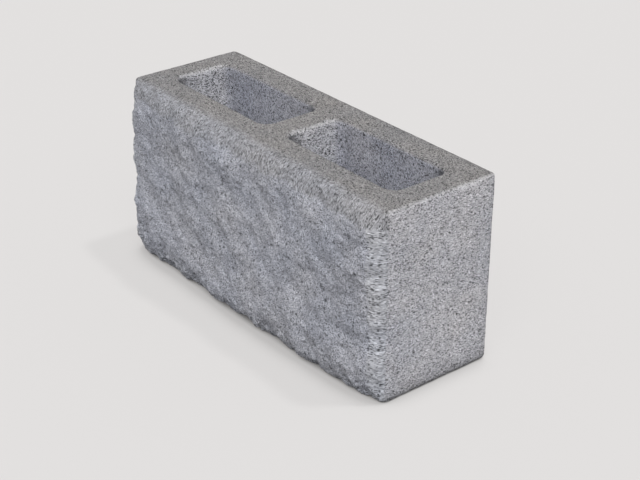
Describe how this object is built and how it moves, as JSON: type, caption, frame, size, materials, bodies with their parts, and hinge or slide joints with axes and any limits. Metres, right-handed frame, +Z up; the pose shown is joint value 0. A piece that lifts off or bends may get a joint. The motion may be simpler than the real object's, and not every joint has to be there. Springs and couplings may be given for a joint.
{
  "type": "split-face concrete block",
  "caption": "Hollow concrete masonry block with open rectangular cells, smooth moulded sides and a rough split face for laying in exposed walls.",
  "frame": {"origin": "under the middle of the block, on the plane of its lower bed", "axes": "+X along the block's length, +Z up, the split face towards -Y and the smooth back towards +Y"},
  "size_m": [0.39, 0.1446, 0.19],
  "materials": {
    "concrete": "matte grey concrete, moulded with a fine open grain on five sides and split on one long face"
  },
  "bodies": {
    "root": {"block": "concrete"}
  },
  "joints": []
}
